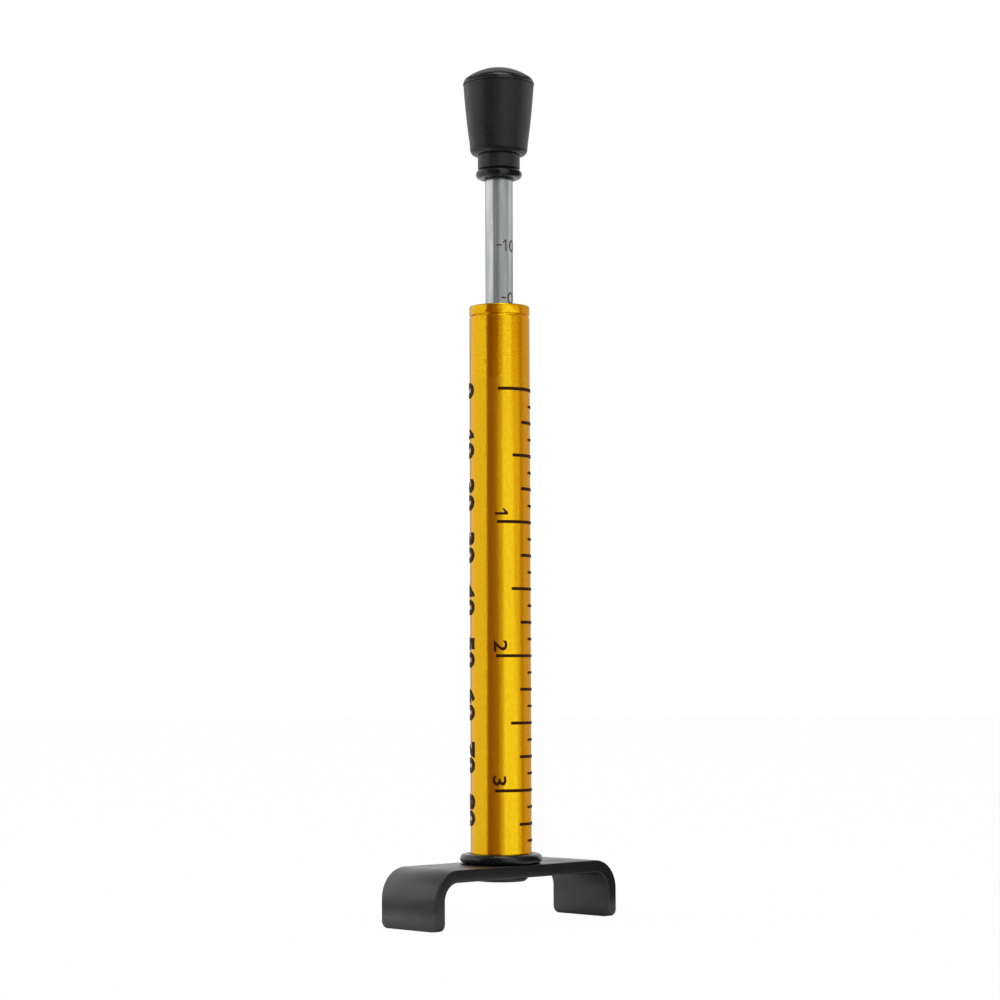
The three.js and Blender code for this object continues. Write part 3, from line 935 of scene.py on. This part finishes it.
drawn_steel, tree, shader = new_finish("drawn_steel", steel_colour, Metallic=1.0)
stain = pattern(tree, scale=330, stretch=0.12, lowest=0.40, highest=0.75)
spots = pattern(tree, scale=1700, stretch=0.06, lowest=0.45, highest=0.80)
draw_lines = pattern(tree, scale=5200, stretch=0.02, lowest=0.3, highest=0.7)
dulled = add_node(tree, "Math", {0: stain, 1: spots}, operation="MAXIMUM")
feed(tree, shader,
     Base_Color=blended(tree, dulled.outputs[0], steel_colour, stained_steel_colour),
     Roughness=between(tree, dulled.outputs[0], low=0.17, high=0.36),
     Normal=raised(tree, draw_lines, draw_line_depth, raised(tree, spots, spot_depth)))

clip_low, clip_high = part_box("retaining_clip")
low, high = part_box("plunger_rod")
rod_radius = high.x
groove_radius = rod_radius - groove_depth
rod_shoulder = high.z - stud_length
rod = finished("plunger_rod_drawn", turned([
    (0, low.z, 0),
    (rod_radius, low.z, rod_edge),
    (rod_radius, clip_low.z - clip_fit, 0),
    (groove_radius, clip_low.z - clip_fit, 0),
    (groove_radius, clip_high.z + clip_fit, 0),
    (rod_radius, clip_high.z + clip_fit, 0),
    (rod_radius, rod_shoulder, broken_edge),
    (stud_radius, rod_shoulder, 0),
    (stud_radius, high.z, rod_edge),
    (0, high.z, 0),
], closed=False), drawn_steel, "plunger", "bright_steel")
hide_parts("plunger_rod")


# Force marks
# Two short lines with the figures 0 and 10, printed in dark ink on the rod. The edge of the small ring is
# read against them.
mark_heights = {"0": 119.0 * mm, "10": 129.15 * mm}
mark_starts = {"0": 8, "10": -11}
mark_ends = {"0": 30, "10": 12}
mark_figure_starts = {"0": (34,), "10": (6, 43)}
mark_width = 0.30 * mm
mark_figure_height = 2.25 * mm
mark_figure_width = 1.8 * mm
mark_colour = (0.055, 0.045, 0.035, 1)
rubbed_mark_colour = (0.17, 0.15, 0.13, 1)

marking_ink, tree, shader = new_finish("marking_ink", mark_colour, IOR=1.45, Specular_IOR_Level=0.25)
rubbed = pattern(tree, scale=6000, lowest=0.5, highest=0.8)
feed(tree, shader,
     Base_Color=blended(tree, rubbed, mark_colour, rubbed_mark_colour),
     Roughness=between(tree, rubbed, low=0.4, high=0.55))

arc_per_degree = rod_radius * math.radians(1)
artwork = bmesh.new()
for text, height in mark_heights.items():
    start, end = (edges[text] * arc_per_degree for edges in (mark_starts, mark_ends))
    add_line(artwork, start, end, height, mark_width)
    for digit, start in zip(text, mark_figure_starts[text]):
        place = Matrix.Translation((start * arc_per_degree, height - mark_figure_height / 2, 0))
        add_figure(artwork, digit, place, mark_figure_height, mark_figure_width)
printed("force_marks", artwork, rod_radius, marking_ink, "plunger", "bright_steel")


# Rubber rings
# Two rings of round rubber cord, each moulded in one piece. They grip by friction: the small one sits under
# the knob, the large one at the foot of the tube.
rubber_colour = (0.0065, 0.0065, 0.0068, 1)
bloomed_rubber_colour = (0.0105, 0.0105, 0.0108, 1)
skin_depth = 0.004 * mm
force_cord_radius = 0.88 * mm
deflection_cord_radius = 0.95 * mm
cord_sides = 40

rubber, tree, shader = new_finish("black_rubber", rubber_colour, IOR=1.5)
bloom = pattern(tree, scale=500, lowest=0.35, highest=0.75)
skin = pattern(tree, scale=4200, lowest=0.2, highest=0.8)
feed(tree, shader,
     Base_Color=blended(tree, bloom, rubber_colour, bloomed_rubber_colour),
     Roughness=between(tree, bloom, low=0.20, high=0.32),
     Normal=raised(tree, skin, skin_depth))


def rubber_ring(name, node, cord_radius, body):
    """A ring of round cord that stands for the plain ring of the frame."""
    low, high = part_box(node)
    ring = bmesh.new()
    cord_section(ring, high.x - cord_radius, low.z + cord_radius, cord_radius, cord_sides)
    spin_round(ring)
    piece = finished(name, ring, rubber, body, "black_rubber")
    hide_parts(node)


rubber_ring("force_ring", "force_o_ring", force_cord_radius, "force_marker")
rubber_ring("deflection_ring", "deflection_o_ring", deflection_cord_radius, "deflection_marker")


# Knob insert
# A brass nut moulded into the knob, into which the rod's stud screws. Only its lower face could be seen, and
# the rod's shoulder covers most of that, so it keeps the plain solid.
brass_colour = (0.72, 0.50, 0.20, 1)
tarnished_brass_colour = (0.52, 0.34, 0.13, 1)
turning_depth = 0.006 * mm

brass, tree, shader = new_finish("brass", brass_colour, Metallic=1.0)
tarnish = pattern(tree, scale=700)
turning_marks = pattern(tree, scale=2500, stretch=3.0)
feed(tree, shader,
     Base_Color=blended(tree, tarnish, brass_colour, tarnished_brass_colour),
     Roughness=between(tree, tarnish, low=0.24, high=0.42),
     Normal=raised(tree, turning_marks, turning_depth))
refinish("knob_insert", brass)


# Knob
# The push knob, moulded in satin black plastic round its insert. Above a short neck the flank widens with a
# slight belly, and a rounded shoulder stands a little proud of it and runs into a low dome.
knob_colour = (0.0062, 0.0064, 0.0068, 1)
handled_knob_colour = (0.0100, 0.0103, 0.0107, 1)
moulding_depth = 0.016 * mm
insert_fit = 0.02 * mm
neck_radius = 4.06 * mm
neck_height = 2.8 * mm
neck_edge = 0.25 * mm
skirt_radius = 5.46 * mm
skirt_round = 1.07 * mm
flank_height = 12.59 * mm
flank_bulge = 0.135 * mm
crown_lip = 0.15 * mm
crown_polish = 0.12
groove_inset = 0.12 * mm
crown_flare = 0.1 * mm
shoulder_radius = 1.6 * mm
dome_radius = 10.57 * mm
flank_steps = 10
shoulder_steps = 10
dome_steps = 20

knob_plastic, tree, shader = new_finish("knob_plastic", knob_colour, IOR=1.5)
moulding = pattern(tree, scale=2600, lowest=0.25, highest=0.75)
handling = pattern(tree, scale=450, lowest=0.35, highest=0.7)
low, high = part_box("knob")
flank_top = low.z + neck_height + skirt_round + flank_height
place = add_node(tree, "SeparateXYZ", {0: add_node(tree, "TexCoord").outputs["Object"]})
above_flank = add_node(tree, "MapRange", {"Value": place.outputs["Z"], "From Min": flank_top,
                                          "From Max": flank_top + crown_lip})
polish = add_node(tree, "Math", {0: above_flank.outputs["Result"], 1: crown_polish}, operation="MULTIPLY")
satin = between(tree, handling, low=0.25, high=0.35)
roughness = add_node(tree, "Math", {0: satin, 1: polish.outputs[0]}, operation="SUBTRACT")
feed(tree, shader,
     Base_Color=blended(tree, handling, knob_colour, handled_knob_colour),
     Roughness=roughness.outputs[0],
     Normal=raised(tree, moulding, moulding_depth))

crown_radius = high.x
insert_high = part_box("knob_insert")[1]
insert_hole_radius = insert_high.x + insert_fit
insert_hole_top = insert_high.z + insert_fit
neck_top = low.z + neck_height
flank_bottom = neck_top + skirt_round
shoulder_centre = Vector((crown_radius - shoulder_radius, 0, flank_top + crown_lip))
dome_centre = Vector((0, 0, high.z - dome_radius))
meeting = math.atan2(shoulder_centre.z - dome_centre.z, shoulder_centre.x)
blank = bmesh.new()
corners = [blank.verts.new((radius, 0, height)) for radius, height in (
    (0, insert_hole_top),
    (insert_hole_radius, insert_hole_top),
    (insert_hole_radius, low.z),
    (neck_radius, low.z),
    (neck_radius, neck_top),
    (skirt_radius, neck_top),
)]
neck_corner = corners[-3]
skirt_corner = corners[-1]
for step in range(1, flank_steps + 1):
    share = step / flank_steps
    taper = skirt_radius + (crown_radius - crown_flare - skirt_radius) * share
    # A parabola that stands out by the whole bulge halfway up
    belly = 4 * flank_bulge * share * (1 - share)
    corners.append(blank.verts.new((taper + belly, 0, flank_bottom + flank_height * share)))
crown_groove_radius = crown_radius - crown_flare - groove_inset
corners.append(blank.verts.new((crown_groove_radius, 0, flank_top)))
corners.append(blank.verts.new((crown_groove_radius, 0, shoulder_centre.z)))
corners.append(blank.verts.new((crown_radius, 0, shoulder_centre.z)))
for corner, other in zip(corners, corners[1:]):
    blank.edges.new((corner, other))
shoulder_end = bmesh.ops.spin(blank, geom=[corners[-1]], axis=(0, -1, 0), cent=shoulder_centre, angle=meeting,
                              steps=shoulder_steps)["geom_last"]
bmesh.ops.spin(blank, geom=shoulder_end, axis=(0, -1, 0), cent=dome_centre, angle=quarter_turn - meeting,
               steps=dome_steps)
for corner, rounding in ((skirt_corner, skirt_round), (neck_corner, neck_edge)):
    round_corner(blank, corner, rounding, 2 * corner_steps)
spin_round(blank)
knob = finished("knob_moulded", blank, knob_plastic, "plunger", "black_plastic")
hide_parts("knob")
